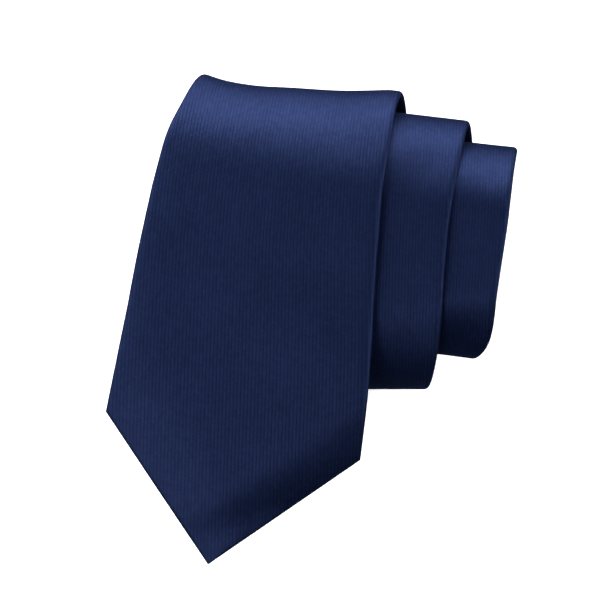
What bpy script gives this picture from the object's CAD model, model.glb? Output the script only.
"""The looks of a rolled necktie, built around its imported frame.

The tie is laid out as on a sewing table and then wound up. A place on it has three numbers: `s`, the
distance along the tie from the blade's tip; `x`, the sideways place in the row frame; and `depth`, how far
below the good face of the cloth it lies. The side path turns `s` and `depth` into a point of the roll. Each
layer is one fine grid over (s, x, depth), closed into a thin shell and then cut where the tie's bodies take
over from one another, so that both sides of every cut match exactly.

Frame: +Z up, +Y towards the fold that the blade hangs from, -Y towards the blade's tip.
"""

import math

import bpy
import numpy as np
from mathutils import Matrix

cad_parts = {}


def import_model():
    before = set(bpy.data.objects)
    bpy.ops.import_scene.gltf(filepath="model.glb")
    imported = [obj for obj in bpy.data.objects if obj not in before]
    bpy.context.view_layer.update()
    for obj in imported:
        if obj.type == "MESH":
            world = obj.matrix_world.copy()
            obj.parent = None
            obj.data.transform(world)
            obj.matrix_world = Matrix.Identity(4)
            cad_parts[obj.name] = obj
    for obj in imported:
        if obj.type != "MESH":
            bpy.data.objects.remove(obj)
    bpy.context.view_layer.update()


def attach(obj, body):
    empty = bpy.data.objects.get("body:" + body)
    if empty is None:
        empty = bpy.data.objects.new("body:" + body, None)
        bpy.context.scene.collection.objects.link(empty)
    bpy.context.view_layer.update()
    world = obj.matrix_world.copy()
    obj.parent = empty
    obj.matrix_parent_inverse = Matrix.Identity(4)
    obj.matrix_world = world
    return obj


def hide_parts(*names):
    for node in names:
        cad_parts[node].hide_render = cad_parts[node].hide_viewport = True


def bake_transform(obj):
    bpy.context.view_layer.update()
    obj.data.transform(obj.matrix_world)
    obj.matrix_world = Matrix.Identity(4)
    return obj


MM = 0.001

# Driving dimensions of the roll, as in the part.
ROLL_DEPTH = 49.6 * MM
TIP_REACH = 100.6 * MM
PITCH = 2.4 * MM
FLAP_EASE = 0.8 * MM
DROOP = 7.0 * MM
DROOP_START = 26.0 * MM
LOOSE_FOLDS = (
    (+1, 17.0 * MM, 47.5 * MM),
    (-1, 18.0 * MM, 46.4 * MM),
    (+1, 14.0 * MM, 41.9 * MM),
    (-1, 14.6 * MM, 35.6 * MM),
)
SLANT = 0.1026  # how far the folds run back per length across
SLANT_RISE = (-20.0 * MM, 12.0 * MM)  # between these places the slant grows from nothing to full
CORE_CENTRE = {+1: 15.3 * MM, -1: 14.6 * MM}
CORE_SMALLEST = 2.9 * MM
TAIL_RUN = 23.0 * MM

RIGHT_EDGE_MM = (
    (0, 8.4),
    (33, 12.1),
    (54, 14.5),
    (100, 17.5),
    (129, 20.6),
    (141, 22.2),
    (161, 25.1),
    (206, 28.3),
    (281, 33.2),
    (304, 36.2),
    (353, 40.2),
    (375, 43.9),
    (393, 46.1),
    (411, 47.3),
    (475, 47.4),
    (494, 48.4),
    (506, 52.2),
    (526, 54.6),
    (568, 59.5),
    (587, 61.0),
    (614, 58.5),
    (694, 49.5),
    (794, 48.0),
)
WIDTH_MM = (
    (0, 83.0),
    (50, 80.2),
    (100, 72.9),
    (118, 69.7),
    (131, 68.2),
    (144, 64.6),
    (161, 61.8),
    (206, 59.5),
    (300, 55.0),
    (480, 48.0),
    (567, 45.0),
    (780, 38.0),
)
NECK_WIDTH = 35.0 * MM
TAIL_WIDTH = 45.0 * MM
NECK_END_BEFORE_TAIL = 440.0 * MM
TAIL_WIDEST_BEFORE_END = 60.0 * MM
TIP_X = -35.0 * MM
TIP_LEAN = math.radians(10.9)
BIAS = math.radians(44.3)

# The layers, as depths below the good face and thicknesses.
CLOTH = 0.35 * MM
INTERLINING = 0.60 * MM
TIPPING = 0.15 * MM
LABEL = 0.18 * MM
FACE_DEPTH = CLOTH / 2
INTERLINING_DEPTH = 0.80 * MM
TIPPING_DEPTH = 1.275 * MM
UNDER_FLAP_DEPTH = 1.625 * MM
OVER_FLAP_DEPTH = 2.075 * MM
SURFACE_DEPTH = 2.45 * MM
LAP = 2.5 * MM
HEM = 9.0 * MM
INSET = 1.6 * MM
EDGE_REACH = (1.9 * MM, 1.1 * MM)  # how far in the side edges round off, on flat runs and in folds

# Places along the tie.
BLADE_OPENING = (44.0 * MM, 90.0 * MM)
TAIL_OPENING = (24.0 * MM, 42.0 * MM)
BLADE_SEAM = 780.0 * MM
TAIL_SEAM_BEFORE_END = 450.0 * MM
PANEL_GAP = 0.5 * MM
SHELL_START = 0.15 * MM
LINING_START = 4.0 * MM
LOOSE_UNTIL = (150.0 * MM, 110.0 * MM)  # the blade lies tight beyond the first place, loose before the second
POINT_UNTIL = (62.0 * MM, 40.0 * MM)  # the same for the turned-down edges of its point
TIP_CALM = 20.0 * MM  # the right cut turns down fully only this far above the tip
TIP_BENDS = (57.0 * MM, 81.0 * MM)
BEND_HALF_LENGTH = 12.0 * MM
SEAM_MARGIN = 3.0 * MM
LABEL_PLACE = (100.0 * MM, 114.0 * MM)
LABEL_HALF_WIDTH = 22.0 * MM
CARE_PLACE_ABOVE_OPENING = (2.0 * MM, 13.0 * MM)
CARE_HALF_WIDTH = 8.0 * MM
KEEPER_LENGTH = 9.0 * MM
KEEPER_HALF_WIDTH = 21.0 * MM
KEEPER_BOW = 0.7 * MM
SEAM_HALF_LENGTH = 0.2 * MM
SEAM_THICKNESS = 0.25 * MM

# The hand sewing.
THREAD_RADIUS = 0.12 * MM
SLIP_STITCH_LENGTH = 2.6 * MM
SLIP_STITCH_PITCH = 5.2 * MM
SLIP_STITCH_HEADING = math.radians(32)
TACK_THREADS = 5
TACK_THREAD_RADIUS = 0.15 * MM
TACK_THREAD_PITCH = 0.28 * MM
TACK_STAGGER = 0.15 * MM
TACK_LENGTHS = {"blade": 8.0 * MM, "tail": 5.0 * MM}
LABEL_STITCH_LENGTH = 1.5 * MM
LABEL_STITCH_PITCH = 1.9 * MM
LABEL_STITCH_INSET = 1.5 * MM
KEEPER_STITCH_LENGTH = 1.3 * MM
KEEPER_STITCH_PITCH = 1.7 * MM
KEEPER_STITCH_INSET = 1.0 * MM
STITCH_ARCH = 0.1 * MM  # how far the middle of a stitch stands off the cloth

HINGES = 10
HINGE_SHARE = 180.0 / HINGES
BLEND_INSET = 0.7 * MM  # a bend starts and ends this far inside its piece
SAMPLES_PER_DEGREE = 2

# How finely the cloth is meshed: rows along the tie, columns across it.
BLADE_ROW = 1.5 * MM
LOOSE_FOLD_ROW = 1.2 * MM
LOOSE_FLAT_ROW = 2.5 * MM
CORE_FOLD_ROW = 2.0 * MM
CORE_FLAT_ROW = 5.0 * MM
FACE_COLUMNS = 44
FLAP_COLUMNS = 14
EDGE_COLUMNS = 9
FACE_EASING = 0.55  # how much closer the face's columns lie towards the side edges

# The ribs of the cloth lean less than its edges do.
RIB_LEAN = 0.22
RIB_STRAIGHT = (100.0 * MM, 161.0 * MM)  # here they don't follow the edges at all
RIB_FAN = 6.7 * MM
RIB_FAN_RISE = (50.0 * MM, 160.0 * MM)

# The photograph's frame, as the part of the table that it shows.
VIEW_MIDDLE = (-6.5 * MM, -18.6 * MM)
VIEW_FIELD = 185.7 * MM
CAMERA_HEIGHT = 5.0


class SidePath:
    """The roll seen from the side: the good face's line in the YZ plane, by distance along the tie."""

    def __init__(self):
        self.samples = []
        self.flats = []
        self.turns = []

    def add(self, y, z, angle):
        """Adds a sample and gives its distance. `angle` is the outward normal's, from +Z towards +Y."""
        s = 0.0
        if self.samples:
            last = self.samples[-1]
            step = math.hypot(y - last[1], z - last[2])
            if step < 1e-9:
                return last[0]
            s = last[0] + step
        self.samples.append((s, y, z, math.sin(angle), math.cos(angle)))
        return s

    def flap(self, start_y, end_y, level, steps=96):
        """The blade, from its hanging tip to where the first fold starts."""
        for i in range(steps + 1):
            y = start_y + (end_y - start_y) * i / steps
            hang = max(0.0, -DROOP_START - y) / (TIP_REACH - DROOP_START)
            slope = 2 * DROOP * hang / (TIP_REACH - DROOP_START)
            self.add(y, level - DROOP * hang**2, -math.atan(slope))

    def fold(self, side, centre, level, next_level, half_length):
        """Half an ellipse from one level to the next."""
        start = self.samples[-1][0]
        self.flats.append((start, start + abs(self.samples[-1][1] - side * centre)))
        middle = (level + next_level) / 2
        half_depth = abs(level - next_level) / 2
        ends = []
        for i in range(180 * SAMPLES_PER_DEGREE + 1):
            turn = i / SAMPLES_PER_DEGREE
            phi = math.radians(turn)
            t = math.atan2(half_length * math.sin(phi), half_depth * math.cos(phi))
            y = side * (centre + half_length * math.sin(t))
            z = middle + side * half_depth * math.cos(t)
            normal = phi if side > 0 else phi + math.pi
            ends.append((turn, self.add(y, z, normal)))
        self.turns.append(ends)

    def freeze(self):
        """Ends the path, after which its points can be read."""
        self.table = np.array(self.samples)
        self.length = float(self.table[-1, 0])

    def at(self, s):
        """Arrays y, z and the outward normal's y and z at these distances."""
        y, z, ny, nz = (np.interp(s, self.table[:, 0], self.table[:, k]) for k in (1, 2, 3, 4))
        size = np.hypot(ny, nz)
        return y, z, ny / size, nz / size

    def at_turn(self, fold, degrees):
        """The distance along the tie where a fold has turned by this angle."""
        turns, places = zip(*self.turns[fold])
        return float(np.interp(degrees, turns, places))

    def turned(self, fold, s):
        """How far a fold has turned at these distances, in radians."""
        turns, places = zip(*self.turns[fold])
        return np.radians(np.interp(s, places, turns))

    def middle_of_flat(self, near):
        """The middle of the flat run nearest to a place along the tie."""
        middles = [(a + b) / 2 for a, b in self.flats]
        return min(middles, key=lambda s: abs(s - near))


def wind():
    """Builds the side path from the blade's tip to the tail's tip."""
    path = SidePath()
    front, under = ROLL_DEPTH, 0.0
    path.flap(-TIP_REACH, LOOSE_FOLDS[0][1], front)
    for i, (side, centre, reach) in enumerate(LOOSE_FOLDS):
        if side > 0:
            path.fold(side, centre, front, under, reach - centre)
            front -= PITCH + (FLAP_EASE if i == 0 else 0.0)
        else:
            path.fold(side, centre, under, front, reach - centre)
            under += PITCH
    side = +1
    while (front - under) / 2 > CORE_SMALLEST:
        radius = (front - under) / 2
        levels = (front, under) if side > 0 else (under, front)
        path.fold(side, CORE_CENTRE[side], *levels, radius)
        if side > 0:
            front -= PITCH
        else:
            under += PITCH
        side = -side
    _, y, z, ny, nz = path.samples[-1]
    path.add(y + side * TAIL_RUN, z, math.atan2(ny, nz))
    path.freeze()
    return path


PATH = wind()
LENGTH = PATH.length


def smooth_curve(stations):
    """A function through the stations (place, value) with continuous slope, on arrays."""
    places, values = np.array(stations, float).T
    slopes = np.gradient(values, places)

    def value(s):
        s = np.asarray(s, float)
        i = np.clip(np.searchsorted(places, s) - 1, 0, len(places) - 2)
        span = places[i + 1] - places[i]
        u = np.clip((s - places[i]) / span, 0.0, 1.0)
        return (
            (1 + 2 * u) * (1 - u) ** 2 * values[i]
            + u * (1 - u) ** 2 * span * slopes[i]
            + u * u * (3 - 2 * u) * values[i + 1]
            + u * u * (u - 1) * span * slopes[i + 1]
        )

    return value


def smooth_step(value, low, high):
    """0 below low, 1 above high, and smooth between them. low may be above high."""
    t = np.clip((value - low) / (high - low), 0.0, 1.0)
    return t * t * (3 - 2 * t)


width_at = smooth_curve(
    [(s * MM, width * MM) for s, width in WIDTH_MM]
    + [
        (LENGTH - NECK_END_BEFORE_TAIL, NECK_WIDTH),
        (LENGTH - TAIL_WIDEST_BEFORE_END, TAIL_WIDTH),
        (LENGTH, TAIL_WIDTH),
    ]
)
leaning_centre = smooth_curve(
    [(s * MM, x * MM - float(width_at(s * MM)) / 2) for s, x in RIGHT_EDGE_MM]
)
CORE_START = RIGHT_EDGE_MM[-1][0] * MM


def centre_at(s):
    """The middle of the tie, which lies straight in the core."""
    return leaning_centre(np.minimum(s, CORE_START))


def left_cut(s):
    """The cut edge of the blade's point on the left side."""
    return TIP_X - s * math.tan(BIAS - TIP_LEAN)


def right_cut(s):
    """The cut edge of the blade's point on the right side."""
    return TIP_X + s * math.tan(BIAS + TIP_LEAN)


def edges(s):
    """The tie's left and right edges at places along it, with both points cut."""
    left = np.maximum(centre_at(s) - width_at(s) / 2, left_cut(s))
    right = np.minimum(centre_at(s) + width_at(s) / 2, right_cut(s))
    rest = LENGTH - s
    left = np.maximum(left, centre_at(LENGTH) - rest * math.tan(BIAS))
    right = np.minimum(right, centre_at(LENGTH) + rest * math.tan(BIAS))
    return left, right


def meeting(low, high, gap):
    """The place between low and high where `gap` changes sign."""
    for _ in range(40):
        middle = (low + high) / 2
        if (gap(low) > 0) == (gap(middle) > 0):
            low = middle
        else:
            high = middle
    return low


# Shapes of the real cloth that the part leaves out. Heights are outward from the good face.
FOLD_TOPS_MM = (  # by fold, (distance from the left edge, height)
    ((0, 0.7), (5.6, -0.6), (14.9, -1.4), (28, -0.9), (43.6, -0.2), (58, 1.5)),
    (),
    ((0, 0.3), (30, 0.3), (52, 0.0)),
    ((0, -0.4), (33, -0.4), (48, 1.5)),
    ((0, 0.4), (32, 0.4), (47, 0.4)),
)
LEFT_EDGE_FALL = (0.45 * MM, 4.0 * MM)  # (drop at the edge, reach)
RIGHT_EDGE_FALL = (0.25 * MM, 2.5 * MM)
LEFT_CUT_FALL = (2.6 * MM, 20.0 * MM)
RIGHT_CUT_FALL = (6.5 * MM, 17.0 * MM)
# Rises and hollows that run across the cloth: (place along the tie, height, reach along the tie, shares of
# the width where it begins and is full).
SWELLS = (
    (108 * MM, 1.2 * MM, 24 * MM, 0.10, 0.95),
    (134 * MM, -1.3 * MM, 13 * MM, 0.10, 0.95),
    (308 * MM, -1.0 * MM, 12 * MM, 0.40, 0.90),
    (332 * MM, 0.3 * MM, 12 * MM, 0.50, 0.90),
    (347 * MM, 0.4 * MM, 14 * MM, 0.50, 0.90),
    (368 * MM, -1.1 * MM, 11 * MM, 0.50, 0.90),
    (513 * MM, -0.8 * MM, 10 * MM, 0.40, 0.90),
    (550 * MM, 0.4 * MM, 14 * MM, 0.50, 0.90),
    (570 * MM, -1.1 * MM, 11 * MM, 0.50, 0.90),
)
# Long soft waves of the loose blade: (height, wave length along, wave length across, phase).
BLADE_WAVES = (
    (0.16 * MM, 61.0 * MM, 190.0 * MM, 0.6),
    (0.10 * MM, 37.0 * MM, 71.0 * MM, 2.1),
    (0.07 * MM, 90.0 * MM, 43.0 * MM, 4.0),
)
FOLD_TOPS = {
    fold: smooth_curve([(d * MM, h * MM) for d, h in top]) for fold, top in enumerate(FOLD_TOPS_MM) if top
}


def waves(s, x, table):
    """A sum of long soft waves."""
    height = 0.0
    for size, along, across, phase in table:
        height = height + size * np.sin(2 * math.pi * (s / along + x / across) + phase)
    return height


def relief(s, x):
    """How far the cloth stands out from the plain roll."""
    left = centre_at(s) - width_at(s) / 2
    right = centre_at(s) + width_at(s) / 2
    loose = smooth_step(s, *LOOSE_UNTIL)
    height = 0.0
    for fold, top in FOLD_TOPS.items():
        height = height + top(x - left) * np.sin(PATH.turned(fold, s)) ** 2
    height = height + waves(s, x, BLADE_WAVES) * loose
    for middle, rise, reach, begins, full in SWELLS:
        share = smooth_step((x - left) / (right - left), begins, full)
        height = height + rise * share * np.exp(-(((s - middle) / reach) ** 2))
    for distance, (drop, reach) in ((x - left, LEFT_EDGE_FALL), (right - x, RIGHT_EDGE_FALL)):
        height = height - drop * np.exp(-((distance / reach) ** 2)) * loose
    on_point = smooth_step(s, *POINT_UNTIL)
    from_left_cut = (x - left_cut(s)) * math.cos(BIAS - TIP_LEAN)
    from_right_cut = (right_cut(s) - x) * math.cos(BIAS + TIP_LEAN)
    above_tip = smooth_step(s, 0.0, TIP_CALM)
    for distance, (drop, reach), share in (
        (from_left_cut, LEFT_CUT_FALL, 1.0),
        (from_right_cut, RIGHT_CUT_FALL, above_tip),
    ):
        height = height - drop * np.clip(1.0 - distance / reach, 0.0, 1.0) ** 2 * on_point * share
    return height


def place(s, x, depth):
    """The points of the roll at these numbers, as an array of points."""
    s, x, depth = np.broadcast_arrays(s, x, depth)
    y, z, ny, nz = PATH.at(s)
    height = relief(s, x)
    lean = np.where(s < TIP_BENDS[0], 0.0, ny)  # the hanging point moves straight up and down
    slant = SLANT * np.interp(y, SLANT_RISE, (0.0, 1.0))
    return np.stack([x, y - slant * x - depth * ny + height * lean, z - (depth - height) * nz], axis=-1)


def hinge_places():
    """Where the fold's hinges lie along the tie, from the roll's side to the blade's side."""
    return [PATH.at_turn(0, 180.0 - HINGE_SHARE * (i + 0.5)) for i in range(HINGES)]


class Span:
    """A run of the tie that one body carries, or that bends between two."""

    def __init__(self, label, start, end, bodies, bend=None):
        self.label = label
        self.start = start
        self.end = end
        self.bodies = bodies
        self.bend = bend

    def carry(self, piece):
        """Makes a piece of this span move with its body or bodies."""
        if self.bend is None:
            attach(piece, self.bodies[0])
        else:
            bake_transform(piece)


def bend_between(start, end, axis):
    """The two points of a bend. The way between them is square to the hinge axis."""
    first = place(start, 0.0, 0.0)
    way = place(end, 0.0, 0.0) - first
    way = way - axis * float(way @ axis)
    return tuple(first), tuple(first + way)


def spans_of():
    """Every span from the blade's tip to the tail."""
    hinges = hinge_places()
    low, high = TIP_BENDS
    sideways = np.array([1.0, 0.0, 0.0])
    slanted = np.array([1.0, -SLANT, 0.0]) / math.hypot(1.0, SLANT)
    middle = (low + high) / 2
    first, last = low - BEND_HALF_LENGTH, high + BEND_HALF_LENGTH
    half_link = (hinges[-2] - hinges[-1]) / 2
    fold_start = hinges[-1] - half_link
    slack = 2.5 * MM  # the slant has begun at this end of the upper bend
    spans = [
        Span("point", 0.0, first, ("blade_tip",)),
        Span(
            "lower_bend",
            first,
            middle,
            ("blade_tip", "blade_lower"),
            bend_between(first + BLEND_INSET, middle - BLEND_INSET, sideways),
        ),
        Span(
            "upper_bend",
            middle,
            last,
            ("blade_lower", "blade"),
            bend_between(middle + BLEND_INSET, last - slack, sideways),
        ),
        Span("blade", last, fold_start, ("blade",)),
    ]
    start = fold_start
    for i in reversed(range(HINGES)):
        end = (hinges[i] + hinges[i - 1]) / 2 if i else hinges[0] + half_link
        near = f"fold_link_{i + 1}" if i < HINGES - 1 else "blade"
        far = f"fold_link_{i}" if i else "root"
        bend = bend_between(start + BLEND_INSET, end - BLEND_INSET, slanted)
        spans.append(Span(f"fold_{i + 1}", start, end, (near, far), bend))
        start = end
    spans.append(Span("roll", start, LENGTH, ("root",)))
    return spans


SPANS = spans_of()
BLADE_PANEL_END = PATH.middle_of_flat(BLADE_SEAM)
NECK_PANEL_END = PATH.middle_of_flat(LENGTH - TAIL_SEAM_BEFORE_END)


def row_spacing(s):
    """How far apart mesh rows lie here."""
    if s < PATH.at_turn(0, 0.0):
        return BLADE_ROW
    loose_end = PATH.at_turn(len(LOOSE_FOLDS), 180.0)
    in_flat = any(a <= s <= b for a, b in PATH.flats)
    if s < loose_end:
        return LOOSE_FLAT_ROW if in_flat else LOOSE_FOLD_ROW
    return CORE_FLAT_ROW if in_flat else CORE_FOLD_ROW


def all_rows():
    """Mesh rows for the whole tie, with one at each place where something starts or ends."""
    left = meeting(0.0, 2 * BLADE_OPENING[0], lambda s: centre_at(s) - width_at(s) / 2 - left_cut(s))
    right = meeting(0.0, 2 * BLADE_OPENING[0], lambda s: centre_at(s) + width_at(s) / 2 - right_cut(s))
    marks = [0.0, LENGTH, left, right, LENGTH - TAIL_WIDTH / 2, *BLADE_OPENING]
    marks += [LENGTH - place for place in TAIL_OPENING]
    marks += [span.start for span in SPANS]
    marks += [place for flat in PATH.flats for place in flat]
    marks = sorted(set(marks))
    rows = [0.0]
    for start, end in zip(marks, marks[1:]):
        steps = max(1, math.ceil((end - start) / row_spacing((start + end) / 2)))
        rows += [start + (end - start) * (i + 1) / steps for i in range(steps)]
    return np.array(rows)


ROWS = all_rows()


def rows_between(start, end):
    """Mesh rows from start to end."""
    clear = 0.1 * MM
    inner = ROWS[(ROWS > start + clear) & (ROWS < end - clear)]
    return np.concatenate([[start], inner, [end]])


def edge_reach(s):
    """How much of the width each rolled side edge takes up."""
    left, right = edges(s)
    bent = sum(np.sin(PATH.turned(fold, s)) ** 2 for fold in range(len(LOOSE_FOLDS) + 1))
    reach = EDGE_REACH[0] + (EDGE_REACH[1] - EDGE_REACH[0]) * bent
    return np.minimum(reach, (right - left) / 5)


def flap_ends(s):
    """Where the back flaps end. The left one passes under the right one; both draw back at a point."""
    left, right = edges(s)
    seam = centre_at(s)
    near_blade = s < LENGTH / 2
    corner = np.where(near_blade, BLADE_OPENING[0], TAIL_OPENING[0])
    top = np.where(near_blade, BLADE_OPENING[1], TAIL_OPENING[1])
    opened = np.clip((top - np.minimum(s, LENGTH - s)) / (top - corner), 0.0, 1.0)
    reach = edge_reach(s)
    hem = np.minimum(HEM, right - left - 2 * reach)
    under = (1 - opened) * (seam + LAP) + opened * (left + hem)
    over = (1 - opened) * (seam - LAP) + opened * (right - hem)
    return np.clip(under, left + 1.2 * reach, right - reach), np.clip(over, left + reach, right - 1.2 * reach)


def rolled_edge(edge, inward, reach, back_depth):
    """Columns round a side edge, from the back to the good face. `inward` is +1 on the left."""
    angles = np.radians(np.linspace(-90.0, 90.0, EDGE_COLUMNS + 2))[None, :]
    middle = (FACE_DEPTH + back_depth) / 2
    half = (back_depth - FACE_DEPTH) / 2
    x = edge[:, None] + inward * reach[:, None] * (1 - np.cos(angles))
    return x, np.broadcast_to(middle - half * np.sin(angles), x.shape)


def shell_section(s):
    """The cloth's columns (x, depth): under flap, left edge, good face, right edge, over flap."""
    left, right = edges(s)
    reach = edge_reach(s)
    under, over = flap_ends(s)
    t = np.linspace(0.0, 1.0, FLAP_COLUMNS)[None, :]
    under_x = under[:, None] + (left + reach - under)[:, None] * t
    over_x = (right - reach)[:, None] + (over - right + reach)[:, None] * t
    u = np.linspace(0.0, 1.0, FACE_COLUMNS)[None, :]
    eased = (1 - FACE_EASING) * u + FACE_EASING * (1 - np.cos(math.pi * u)) / 2
    face_x = (left + reach)[:, None] + (right - left - 2 * reach)[:, None] * eased
    left_x, left_depth = rolled_edge(left, +1, reach, UNDER_FLAP_DEPTH)
    right_x, right_depth = rolled_edge(right, -1, reach, OVER_FLAP_DEPTH)
    x = [under_x[:, :-1], left_x, face_x[:, 1:-1], right_x[:, ::-1], over_x[:, 1:]]
    depth = [
        np.full_like(under_x[:, :-1], UNDER_FLAP_DEPTH),
        left_depth,
        np.full_like(face_x[:, 1:-1], FACE_DEPTH),
        right_depth[:, ::-1],
        np.full_like(over_x[:, 1:], OVER_FLAP_DEPTH),
    ]
    return np.concatenate(x, axis=1), np.concatenate(depth, axis=1)


def lining_section(depth, columns=14):
    """A section function for a flat layer inside the shell."""

    def section(s):
        left, right = edges(s)
        inset = np.minimum(INSET, (right - left) / 4)
        t = np.linspace(0.0, 1.0, columns)[None, :]
        x = (left + inset)[:, None] + (right - left - 2 * inset)[:, None] * t
        return x, np.full_like(x, depth)

    return section


def patch_section(half_width, depth, bow=0.0, columns=25):
    """A section function for a flat piece sewn across the seam. `bow` lifts its middle off the cloth."""

    def section(s):
        k = np.linspace(-1.0, 1.0, columns)[None, :]
        x = centre_at(s)[:, None] + k * half_width
        return x, np.broadcast_to(depth + bow * (1 - np.abs(k) ** 6), x.shape)

    return section


def rib_place(s, x):
    """The place across the cloth that its lengthwise ribs follow."""
    start, end = RIB_STRAIGHT
    lean = centre_at(s) - centre_at(0.0) + centre_at(np.clip(s, start, end)) - centre_at(start)
    fan = RIB_FAN * smooth_step(s, *RIB_FAN_RISE)
    across = (x - centre_at(s)) / width_at(s)
    return x - RIB_LEAN * lean + fan * across


def unit(vectors):
    """The same vectors with length 1."""
    size = np.linalg.norm(vectors, axis=-1, keepdims=True)
    return vectors / np.maximum(size, 1e-12)


def grid_normals(points):
    """The normals of a grid of points, facing out of the cloth."""
    along = np.gradient(points, axis=0)
    across = np.gradient(points, axis=1)
    return unit(np.cross(across, along))


def closed_rings(points, thickness):
    """A ring of points round each row of a sheet, and the normals there."""
    half = thickness / 2
    normals = grid_normals(points)
    left = unit(points[:, :1] - points[:, 1:2])
    right = unit(points[:, -1:] - points[:, -2:-1])
    rings = [
        points + half * normals,
        points[:, -1:] + half * right,
        (points - half * normals)[:, ::-1],
        points[:, :1] + half * left,
    ]
    facing = [normals, right, -normals[:, ::-1], left]
    return np.concatenate(rings, axis=1), np.concatenate(facing, axis=1)


def ring_faces(rows, columns):
    """The faces of a closed sheet with this many rows, and this many columns on each side."""
    around = 2 * columns + 2
    i, j = np.meshgrid(np.arange(rows - 1), np.arange(around), indexing="ij")
    following = (j + 1) % around
    corners = (i * around + j, i * around + following, (i + 1) * around + following, (i + 1) * around + j)
    faces = np.stack(corners, axis=-1).reshape(-1, 4).tolist()
    last = (rows - 1) * around
    for j in range(columns - 1):
        cap = (2 * columns - j, 2 * columns - j - 1, j + 1, j)
        faces.append(cap)
        faces.append(tuple(last + k for k in reversed(cap)))
    for cap in ((columns - 1, columns + 1, columns), (2 * columns, 0, 2 * columns + 1)):
        faces.append(cap)
        faces.append(tuple(last + k for k in reversed(cap)))
    return faces


def new_piece(name, points, faces, normals, cloth_places, material):
    """A mesh object with a place on the cloth, in metres, as its UV map."""
    mesh = bpy.data.meshes.new(name)
    mesh.from_pydata(points.reshape(-1, 3).tolist(), [], faces)
    uv = mesh.uv_layers.new(name="cloth")
    corners = np.zeros(len(mesh.loops), np.int32)
    mesh.loops.foreach_get("vertex_index", corners)
    uv.data.foreach_set("uv", cloth_places.reshape(-1, 2)[corners].astype(np.float32).ravel())
    mesh.shade_smooth()
    if normals is not None:
        mesh.normals_split_custom_set_from_vertices(normals.reshape(-1, 3).tolist())
    mesh.materials.append(material)
    piece = bpy.data.objects.new(name, mesh)
    bpy.context.scene.collection.objects.link(piece)
    return piece


def span_slices(rows):
    """(span, first row, last row) for every span that these rows reach into."""
    found = []
    for span in SPANS:
        inside = np.flatnonzero((rows >= span.start - 1e-7) & (rows <= span.end + 1e-7))
        if len(inside) > 1:
            found.append((span, inside[0], inside[-1]))
    return found


def add_strip(name, start, end, section, thickness, material, replaced):
    """A strip of cloth along the tie, cut into one piece per span.

    `replaced` holds the part's nodes that each span's piece stands for, by span label.
    """
    rows = rows_between(start, end)
    x, depth = section(rows)
    points = place(rows[:, None], x, depth)
    rings, facing = closed_rings(points, thickness)
    columns = points.shape[1]
    across = rib_place(rows[:, None], x)
    across = np.concatenate([across, across[:, -1:], across[:, ::-1], across[:, :1]], axis=1)
    cloth = np.stack([np.broadcast_to(rows[:, None], across.shape), across], axis=-1)
    pieces = span_slices(rows)
    for span, first, last in pieces:
        label = name if len(pieces) == 1 else f"{name}_{span.label}"
        part = slice(first, last + 1)
        faces = ring_faces(last + 1 - first, columns)
        piece = new_piece(label, rings[part], faces, facing[part], cloth[part], material)
        span.carry(piece)
        nodes = replaced.get(span.label, ())
        if nodes:
            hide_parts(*nodes)


def stitch_points(s, x, heading, length, radius, depth, arch):
    """The rings of points of one stitch, a short arched thread lying on the cloth."""
    t = np.linspace(-1.0, 1.0, 9)[:, None]
    turn = np.linspace(0.0, 2 * math.pi, 8, endpoint=False)[None, :]
    girth = radius * np.sqrt(np.maximum(0.06, 1 - t**4))
    sideways = girth * np.cos(turn)
    along = t * length / 2
    here_s = s + along * math.cos(heading) - sideways * math.sin(heading)
    here_x = x + along * math.sin(heading) + sideways * math.cos(heading)
    return place(here_s, here_x, depth + arch * (1 - t**2) + girth * np.sin(turn))


def tube_faces(rows, around, base):
    """The faces of a closed tube whose rings start at vertex `base`."""
    faces = []
    for i in range(rows - 1):
        low = base + i * around
        high = low + around
        for j in range(around):
            k = (j + 1) % around
            faces.append((low + j, low + k, high + k, high + j))
    faces.append(tuple(base + j for j in reversed(range(around))))
    faces.append(tuple(base + (rows - 1) * around + j for j in range(around)))
    return faces


def add_stitches(name, places, heading, length, radius, depth, arch, material, replaced):
    """A row of separate stitches at the places (s, x), cut into one piece per span."""
    groups = [(span, [p for p in places if span.start <= p[0] < span.end]) for span in SPANS]
    groups = [(span, inside) for span, inside in groups if inside]
    for span, inside in groups:
        points, faces = [], []
        for s, x in inside:
            rings = stitch_points(s, x, heading, length, radius, depth, arch)
            faces += tube_faces(*rings.shape[:2], base=sum(len(p) for p in points))
            points.append(rings.reshape(-1, 3))
        cloth = np.zeros((sum(len(p) for p in points), 2))
        label = name if len(groups) == 1 else f"{name}_{span.label}"
        piece = new_piece(label, np.concatenate(points), faces, None, cloth, material)
        span.carry(piece)
        nodes = replaced.get(span.label, ())
        if nodes:
            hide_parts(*nodes)


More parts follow.
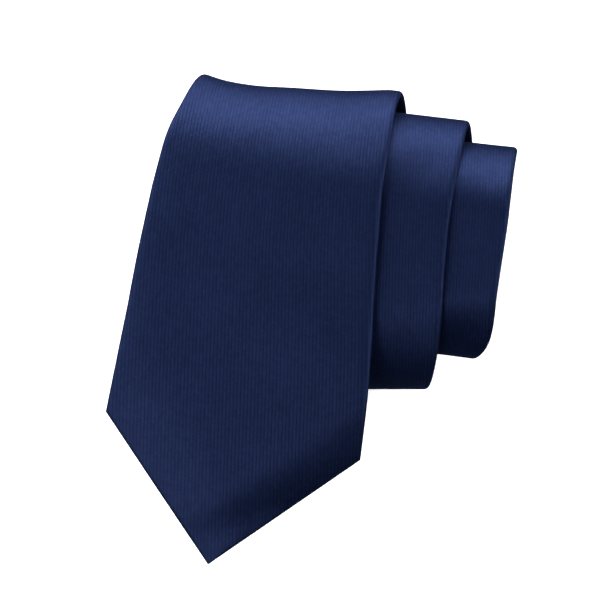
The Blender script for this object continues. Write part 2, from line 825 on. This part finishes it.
class Nodes:
    """Short ways to build a material's node tree."""

    def __init__(self, name):
        self.material = bpy.data.materials.new(name)
        self.material.use_nodes = True
        self.tree = self.material.node_tree
        self.shader = self.tree.nodes["Principled BSDF"]

    def add(self, kind, **settings):
        node = self.tree.nodes.new(kind)
        for key, value in settings.items():
            setattr(node, key, value)
        return node

    def link(self, source, target):
        self.tree.links.new(source, target)

    def feed(self, socket, value):
        if isinstance(value, bpy.types.NodeSocket):
            self.link(value, socket)
        else:
            socket.default_value = value

    def math(self, operation, *values):
        node = self.add("ShaderNodeMath", operation=operation)
        for socket, value in zip(node.inputs, values):
            self.feed(socket, value)
        return node.outputs[0]

    def cloth(self):
        """The place on the cloth in millimetres: (along, across) sockets and the vector."""
        uv = self.add("ShaderNodeUVMap", uv_map="cloth")
        scale = self.add("ShaderNodeVectorMath", operation="SCALE")
        scale.inputs["Scale"].default_value = 1 / MM
        self.link(uv.outputs[0], scale.inputs[0])
        split = self.add("ShaderNodeSeparateXYZ")
        self.link(scale.outputs[0], split.inputs[0])
        return split.outputs[0], split.outputs[1], scale.outputs[0]

    def noise(self, vector, scale, detail=3.0, roughness=0.5):
        node = self.add("ShaderNodeTexNoise")
        self.link(vector, node.inputs["Vector"])
        node.inputs["Scale"].default_value = scale
        node.inputs["Detail"].default_value = detail
        node.inputs["Roughness"].default_value = roughness
        return node.outputs["Fac"]

    def span(self, value, low, high, to_low, to_high):
        node = self.add("ShaderNodeMapRange")
        for socket, number in zip(node.inputs, (value, low, high, to_low, to_high)):
            self.feed(socket, number)
        return node.outputs[0]

    def mix(self, factor, first, second):
        node = self.add("ShaderNodeMix", data_type="RGBA")
        self.feed(node.inputs["Factor"], factor)
        self.feed(node.inputs["A"], (*first, 1.0) if isinstance(first, tuple) else first)
        self.feed(node.inputs["B"], (*second, 1.0) if isinstance(second, tuple) else second)
        return node.outputs["Result"]

    def scaled(self, colour, shade):
        """A colour times a number."""
        node = self.add("ShaderNodeVectorMath", operation="SCALE")
        self.feed(node.inputs[0], colour)
        self.feed(node.inputs["Scale"], shade)
        return node.outputs[0]

    def bump(self, height, distance, before=None):
        node = self.add("ShaderNodeBump")
        node.inputs["Distance"].default_value = distance
        self.link(height, node.inputs["Height"])
        if before is not None:
            self.link(before, node.inputs["Normal"])
        return node.outputs[0]

    def surface(self, **values):
        for key, value in values.items():
            self.feed(self.shader.inputs[key.replace("_", " ")], value)


def twill_cells(nodes, along, across, pitch, dash, shift):
    """Lengthwise ribs broken into dashes that step from rib to rib: (height, chance of each dash)."""
    rib = nodes.math("DIVIDE", across, pitch)
    number = nodes.math("FLOOR", rib)
    step = nodes.math("ADD", nodes.math("DIVIDE", along, dash), nodes.math("MULTIPLY", number, shift))
    crown = nodes.math("SINE", nodes.math("MULTIPLY", nodes.math("FRACT", rib), math.pi))
    ends = nodes.math("SINE", nodes.math("MULTIPLY", nodes.math("FRACT", step), math.pi))
    crown = nodes.math("POWER", nodes.math("MAXIMUM", crown, 0.0), 0.8)
    ends = nodes.math("POWER", nodes.math("MAXIMUM", ends, 0.0), 0.5)
    height = nodes.math("MULTIPLY", crown, nodes.math("MULTIPLY_ADD", ends, 0.45, 0.55))
    cell = nodes.add("ShaderNodeCombineXYZ")
    nodes.link(number, cell.inputs[0])
    nodes.link(nodes.math("FLOOR", step), cell.inputs[1])
    chance = nodes.add("ShaderNodeTexWhiteNoise", noise_dimensions="2D")
    nodes.link(cell.outputs[0], chance.inputs["Vector"])
    return height, chance.outputs["Value"]


def twill_material():
    """Navy satin twill: stepped lengthwise ribs over a dark ground, with a blue gleam of its own."""
    nodes = Nodes("navy_twill")
    along, across, vector = nodes.cloth()
    height, chance = twill_cells(nodes, along, across, pitch=1.10, dash=1.2, shift=0.283)
    diagonal = nodes.math("ADD", nodes.math("MULTIPLY", along, 0.7), across)
    weave = nodes.math("SINE", nodes.math("MULTIPLY", diagonal, 2 * math.pi / 0.36))
    cloud = nodes.span(nodes.noise(vector, 0.045, 2.0), 0.3, 0.7, 0.95, 1.05)
    fleck = nodes.noise(vector, 1.6, 2.0)
    shade = nodes.math("MULTIPLY", nodes.span(height, 0.1, 0.9, 0.73, 1.10), cloud)
    shade = nodes.math("MULTIPLY", shade, nodes.span(chance, 0.0, 1.0, 0.90, 1.10))
    shade = nodes.math("MULTIPLY", shade, nodes.span(fleck, 0.3, 0.7, 0.92, 1.08))
    normal = nodes.bump(height, 0.042 * MM, before=nodes.bump(weave, 0.012 * MM))
    nodes.surface(
        Base_Color=nodes.scaled((0.0008, 0.0026, 0.0120), shade),
        Roughness=0.8,
        Specular_IOR_Level=0.0,
        Sheen_Weight=0.04,
        Sheen_Tint=(0.30, 0.38, 0.80, 1.0),
        Normal=normal,
    )
    gleam = nodes.add("ShaderNodeBsdfAnisotropic")
    nodes.link(nodes.scaled((0.0135, 0.0205, 0.0580), shade), gleam.inputs["Color"])
    nodes.link(nodes.span(fleck, 0.3, 0.7, 0.42, 0.48), gleam.inputs["Roughness"])
    nodes.link(normal, gleam.inputs["Normal"])
    both = nodes.add("ShaderNodeMixShader")
    both.inputs[0].default_value = 0.5
    nodes.link(nodes.shader.outputs[0], both.inputs[1])
    nodes.link(gleam.outputs[0], both.inputs[2])
    nodes.link(both.outputs[0], nodes.tree.nodes["Material Output"].inputs["Surface"])
    return nodes.material


def plain_weave_material(name, colour, pitch, roughness, depth):
    """A plain weave: threads that pass over and under each other in a checker."""
    nodes = Nodes(name)
    along, across, vector = nodes.cloth()
    waves_along = nodes.math("SINE", nodes.math("MULTIPLY", along, math.pi / pitch))
    waves_across = nodes.math("SINE", nodes.math("MULTIPLY", across, math.pi / pitch))
    height = nodes.math("ABSOLUTE", nodes.math("MULTIPLY", waves_along, waves_across))
    fleck = nodes.noise(vector, 0.8)
    shade = nodes.span(nodes.math("MULTIPLY", height, fleck), 0.0, 0.6, 0.6, 1.1)
    nodes.surface(
        Base_Color=nodes.scaled(colour, shade),
        Roughness=nodes.span(fleck, 0.3, 0.7, roughness - 0.05, roughness + 0.05),
        Specular_IOR_Level=0.02,
        Sheen_Weight=0.02,
        Sheen_Tint=(0.25, 0.32, 0.80, 1.0),
        Normal=nodes.bump(height, depth),
    )
    return nodes.material


def felt_material():
    """Brushed interlining: an even mat of short pale fibres."""
    nodes = Nodes("interlining_felt")
    _, _, vector = nodes.cloth()
    fibres = nodes.noise(vector, 2.2, 6.0, 0.65)
    colour = nodes.mix(nodes.span(fibres, 0.35, 0.65, 0.0, 1.0), (0.22, 0.21, 0.19), (0.32, 0.31, 0.28))
    nodes.surface(
        Base_Color=colour,
        Roughness=0.95,
        Specular_IOR_Level=0.1,
        Sheen_Weight=0.1,
        Normal=nodes.bump(fibres, 0.15 * MM),
    )
    return nodes.material


def thread_material():
    """Twisted sewing thread."""
    nodes = Nodes("navy_thread")
    place_node = nodes.add("ShaderNodeTexCoord")
    wave = nodes.add("ShaderNodeTexWave", wave_type="BANDS", bands_direction="DIAGONAL")
    nodes.link(place_node.outputs["Object"], wave.inputs["Vector"])
    wave.inputs["Scale"].default_value = 900.0
    colour = nodes.mix(wave.outputs["Fac"], (0.006, 0.010, 0.038), (0.018, 0.028, 0.090))
    nodes.surface(
        Base_Color=colour,
        Roughness=0.5,
        Specular_IOR_Level=0.08,
        Sheen_Weight=0.02,
        Normal=nodes.bump(wave.outputs["Fac"], 0.03 * MM),
    )
    return nodes.material


def satin_label_material(name, colour, edge_colour, half_width, middle_x):
    """A blank woven satin label with fine crosswise ribs and a plain woven border at its ends."""
    nodes = Nodes(name)
    along, _, vector = nodes.cloth()
    ribs = nodes.math("SINE", nodes.math("MULTIPLY", along, 2 * math.pi / 0.4))
    fleck = nodes.noise(vector, 1.2)
    place_node = nodes.add("ShaderNodeTexCoord")
    split = nodes.add("ShaderNodeSeparateXYZ")
    nodes.link(place_node.outputs["Object"], split.inputs[0])
    from_middle = nodes.math("ABSOLUTE", nodes.math("SUBTRACT", split.outputs[0], middle_x))
    border = nodes.math("GREATER_THAN", from_middle, half_width - 2.6 * MM)
    colour_here = nodes.mix(border, colour, edge_colour)
    shade = nodes.span(nodes.math("ADD", ribs, fleck), -1.0, 2.0, 0.85, 1.1)
    nodes.surface(
        Base_Color=nodes.scaled(colour_here, shade),
        Roughness=0.42,
        Specular_IOR_Level=0.05,
        Normal=nodes.bump(ribs, 0.02 * MM),
    )
    return nodes.material


def fold_nodes(prefix):
    """Which of the part's nodes each fold span stands for: the links on both sides of its hinge."""
    last = HINGES - 1
    stands = {f"fold_{i}": (f"{prefix}_fold_{i}",) for i in range(1, HINGES)}
    stands[f"fold_{HINGES}"] = (f"{prefix}_fold_{last}",)
    return stands


def add_shells(twill):
    """The three cloth panels."""
    stands = fold_nodes("shell")
    stands["point"] = ("shell_blade_tip",)
    stands["lower_bend"] = ("shell_blade_tip", "shell_blade_lower")
    stands["upper_bend"] = ("shell_blade_lower", "shell_blade")
    stands["blade"] = ("shell_blade",)
    stands["roll"] = ("shell_roll",)
    half_gap = PANEL_GAP / 2
    panels = (
        ("shell", SHELL_START, BLADE_PANEL_END - half_gap, stands),
        ("shell_neck", BLADE_PANEL_END + half_gap, NECK_PANEL_END - half_gap, {"roll": ("shell_neck",)}),
        ("shell_tail", NECK_PANEL_END + half_gap, LENGTH - SHELL_START, {"roll": ("shell_tail",)}),
    )
    for name, start, end, replaced in panels:
        add_strip(name, start, end, shell_section, CLOTH, twill, replaced)


def add_linings(felt, tipping):
    """The interlining along the whole tie and the tipping of both points."""
    stands = fold_nodes("interlining")
    stands["point"] = ("interlining_blade_tip",)
    stands["lower_bend"] = ("interlining_blade_lower",)
    stands["blade"] = ("interlining_blade",)
    stands["roll"] = ("interlining_roll",)
    section = lining_section(INTERLINING_DEPTH)
    add_strip(
        "interlining", LINING_START, LENGTH - LINING_START, section, INTERLINING, felt, stands
    )
    section = lining_section(TIPPING_DEPTH, columns=40)
    stands = {
        "point": ("tipping_blade_tip",),
        "lower_bend": ("tipping_blade_lower",),
        "upper_bend": ("tipping_blade",),
    }
    end = BLADE_OPENING[1] + HEM
    add_strip("tipping", LINING_START, end, section, TIPPING, tipping, stands)
    start = LENGTH - TAIL_OPENING[1] - HEM
    stands = {"roll": ("tipping_tail",)}
    add_strip(
        "tipping_tail_point", start, LENGTH - LINING_START, section, TIPPING, tipping, stands
    )


def keeper_places():
    """Where the keeper loop starts and ends along the tie."""
    hinges = hinge_places()
    middle = (hinges[-1] + hinges[-2]) / 2
    return middle - KEEPER_LENGTH / 2, middle + KEEPER_LENGTH / 2


def add_patches(materials):
    """The label, the keeper loop, the care label and the panel seams."""
    start, end = LABEL_PLACE
    section = patch_section(LABEL_HALF_WIDTH, SURFACE_DEPTH, columns=40)
    add_strip("label", start, end, section, LABEL, materials["label"], {"blade": ("maker_label",)})
    opening = LENGTH - TAIL_OPENING[1]
    near, far = CARE_PLACE_ABOVE_OPENING
    section = patch_section(CARE_HALF_WIDTH, SURFACE_DEPTH)
    stands = {"roll": ("care_label",)}
    add_strip("care", opening - far, opening - near, section, LABEL, materials["care"], stands)
    start, end = keeper_places()
    section = patch_section(KEEPER_HALF_WIDTH, SURFACE_DEPTH + 0.1 * MM, bow=KEEPER_BOW, columns=61)
    stands = {f"fold_{HINGES}": ("keeper_loop",), f"fold_{HINGES - 1}": ("keeper_loop",)}
    add_strip("keeper", start, end, section, CLOTH, materials["twill"], stands)
    section = lining_section(FACE_DEPTH + 0.05 * MM)
    for name, node, seam in (
        ("blade_seam", "seam_blade_to_neck", BLADE_PANEL_END),
        ("tail_seam", "seam_neck_to_tail", NECK_PANEL_END),
    ):
        start, end = seam - SEAM_HALF_LENGTH, seam + SEAM_HALF_LENGTH
        stands = {"roll": (node,)}
        add_strip(name, start, end, section, SEAM_THICKNESS, materials["thread"], stands)


def seam_places(start, end, pitch, offset):
    """Evenly spaced places (s, x) beside the middle of the tie."""
    return [(float(s), float(centre_at(s)) + offset) for s in np.arange(start, end, pitch)]


def add_slip_stitch(thread):
    """The long slanted stitches that close the back of the tie."""
    start = BLADE_OPENING[1] + SEAM_MARGIN
    end = LENGTH - TAIL_OPENING[1] - SEAM_MARGIN
    where = seam_places(start, end, SLIP_STITCH_PITCH, -LAP - 0.1 * MM)
    stands = fold_nodes("slip_stitch")
    stands["blade"] = ("slip_stitch_blade",)
    stands["roll"] = ("slip_stitch_roll",)
    heading, length, radius = SLIP_STITCH_HEADING, SLIP_STITCH_LENGTH, THREAD_RADIUS
    depth, arch = OVER_FLAP_DEPTH + CLOTH / 2 - 0.1 * MM, 0.12 * MM
    add_stitches("slip_stitch", where, heading, length, radius, depth, arch, thread, stands)


def add_bar_tacks(thread):
    """A short bar of crosswise threads at each end of the closed back."""
    depth = OVER_FLAP_DEPTH + CLOTH / 2 + 0.08 * MM
    across = math.pi / 2
    counts = [k - TACK_THREADS // 2 for k in range(TACK_THREADS)]
    for name, end, s, span in (
        ("bar_tack_front", "blade", BLADE_OPENING[1], "upper_bend"),
        ("bar_tack_back", "tail", LENGTH - TAIL_OPENING[1], "roll"),
    ):
        middle = float(centre_at(s))
        where = [(s + TACK_THREAD_PITCH * k, middle + TACK_STAGGER * (-1) ** k) for k in counts]
        stands = {span: (f"bar_tack_{end}",)}
        length, radius, arch = TACK_LENGTHS[end], TACK_THREAD_RADIUS, 0.05 * MM
        add_stitches(name, where, across, length, radius, depth, arch, thread, stands)


def add_side_stitches(name, places, half_width, length, pitch, depth, thread, spans):
    """A line of stitches down both ends of a piece that is sewn across the tie."""
    for sign, side in ((-1, "left"), (+1, "right")):
        where = seam_places(*places, pitch, sign * half_width)
        node = f"{name}_{side}"
        stands = {span: (node,) for span in spans}
        add_stitches(f"{node}_row", where, 0.0, length, THREAD_RADIUS, depth, STITCH_ARCH, thread, stands)


def add_threads(thread):
    """All the hand sewing that shows on the back."""
    add_slip_stitch(thread)
    add_bar_tacks(thread)
    start, end = LABEL_PLACE
    add_side_stitches(
        "label_stitch",
        (start + 1.4 * MM, end - 1.0 * MM),
        LABEL_HALF_WIDTH - LABEL_STITCH_INSET,
        LABEL_STITCH_LENGTH,
        LABEL_STITCH_PITCH,
        SURFACE_DEPTH + LABEL / 2,
        thread,
        ("blade",),
    )
    start, end = keeper_places()
    add_side_stitches(
        "keeper_stitch",
        (start + 1.2 * MM, end - 0.8 * MM),
        KEEPER_HALF_WIDTH - KEEPER_STITCH_INSET,
        KEEPER_STITCH_LENGTH,
        KEEPER_STITCH_PITCH,
        SURFACE_DEPTH + 0.47 * MM,
        thread,
        (f"fold_{HINGES}", f"fold_{HINGES - 1}"),
    )


def camera_sees(tree, socket, others, camera):
    """Gives a strength one value for the camera and another for every other ray."""
    rays = tree.nodes.new("ShaderNodeLightPath")
    choice = tree.nodes.new("ShaderNodeMapRange")
    choice.inputs["To Min"].default_value = others
    choice.inputs["To Max"].default_value = camera
    tree.links.new(rays.outputs["Is Camera Ray"], choice.inputs["Value"])
    tree.links.new(choice.outputs["Result"], socket)


def add_floor():
    """A plain pale table under the tie, overexposed so that only close shadows show on it."""
    mesh = bpy.data.meshes.new("floor")
    size, level = 0.8, -0.3 * MM
    corners = [(-size, -size, level), (size, -size, level), (size, size, level), (-size, size, level)]
    mesh.from_pydata(corners, [], [(0, 1, 2, 3)])
    nodes = Nodes("floor_white")
    nodes.surface(
        Base_Color=(0.90, 0.90, 0.90, 1.0),
        Roughness=0.9,
        Specular_IOR_Level=0.0,
        Emission_Color=(1.0, 1.0, 1.0, 1.0),
    )
    camera_sees(nodes.tree, nodes.shader.inputs["Emission Strength"], 0.0, 0.4)
    mesh.materials.append(nodes.material)
    floor = bpy.data.objects.new("floor", mesh)
    bpy.context.scene.collection.objects.link(floor)
    floor.visible_glossy = False  # the dark side of the room is what the lower folds reflect


def add_light(name, bearing, elevation, distance, size, power, gloss=True, diffuse=True):
    """A soft box that looks at the tie. `bearing` is degrees from +Y towards +X."""
    data = bpy.data.lights.new(name, "AREA")
    data.shape = "RECTANGLE"
    data.size, data.size_y = size
    data.energy = power
    light = bpy.data.objects.new(name, data)
    bpy.context.scene.collection.objects.link(light)
    around, up = math.radians(bearing), math.radians(elevation)
    light.location = (
        distance * math.sin(around) * math.cos(up),
        distance * math.cos(around) * math.cos(up),
        distance * math.sin(up),
    )
    light.rotation_euler = (math.radians(90 - elevation), 0.0, math.pi - around)
    light.visible_glossy = gloss
    light.visible_diffuse = diffuse
    light.visible_camera = False
    return light


def add_card(power):
    """A bright card that lies flat on the table behind the tie, seen only in the gloss of the top folds."""
    card = add_light("card", 0, 90, 0.01, (1.6, 0.7), power, diffuse=False)
    card.rotation_euler = (math.pi, 0.0, 0.0)
    card.location = (0.0, 0.45, 2 * MM)


def add_world(strength):
    """An even, weak surrounding light, which the camera sees as white."""
    world = bpy.data.worlds.new("studio")
    world.use_nodes = True
    background = world.node_tree.nodes["Background"]
    background.inputs["Color"].default_value = (1.0, 1.0, 1.0, 1.0)
    camera_sees(world.node_tree, background.inputs["Strength"], strength, 1.0)
    bpy.context.scene.world = world


def add_camera():
    """A long lens looking straight down, with +Y up in the picture."""
    data = bpy.data.cameras.new("camera")
    data.lens = data.sensor_width * (CAMERA_HEIGHT - ROLL_DEPTH) / VIEW_FIELD
    camera = bpy.data.objects.new("camera", data)
    camera.location = (*VIEW_MIDDLE, CAMERA_HEIGHT)
    bpy.context.scene.collection.objects.link(camera)
    bpy.context.scene.camera = camera


def add_studio():
    """Floor, lights and camera."""
    add_floor()
    add_world(0.09)
    add_light("key", bearing=-4, elevation=24, distance=0.9, size=(1.1, 0.42), power=19.5)
    add_light("left", bearing=-88, elevation=22, distance=0.9, size=(0.9, 0.25), power=3.8)
    add_light("right", bearing=88, elevation=24, distance=0.9, size=(0.9, 0.25), power=7.0)
    add_light("top", bearing=0, elevation=88, distance=1.3, size=(1.2, 1.2), power=14.0, gloss=False)
    add_light("ceiling", bearing=-84, elevation=52, distance=0.32, size=(0.36, 0.21), power=0.63)
    add_light("front_left", bearing=-147, elevation=47, distance=1.1, size=(0.35, 0.3), power=6.0)
    add_card(29.0)
    add_camera()
    bpy.context.scene.view_settings.view_transform = "Standard"


def main():
    """Builds the tie around its frame."""
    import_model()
    label_middle = float(centre_at(sum(LABEL_PLACE) / 2))
    materials = {
        "twill": twill_material(),
        "tipping": plain_weave_material("tipping_weave", (0.0045, 0.0085, 0.036), 0.35, 0.5, 0.03 * MM),
        "thread": thread_material(),
        "felt": felt_material(),
        "label": satin_label_material(
            "label_satin", (0.006, 0.008, 0.018), (0.016, 0.021, 0.040), LABEL_HALF_WIDTH, label_middle
        ),
        "care": satin_label_material(
            "care_satin", (0.26, 0.26, 0.25), (0.20, 0.20, 0.19), CARE_HALF_WIDTH, float(centre_at(LENGTH))
        ),
    }
    add_shells(materials["twill"])
    add_linings(materials["felt"], materials["tipping"])
    add_patches(materials)
    add_threads(materials["thread"])
    add_studio()


main()
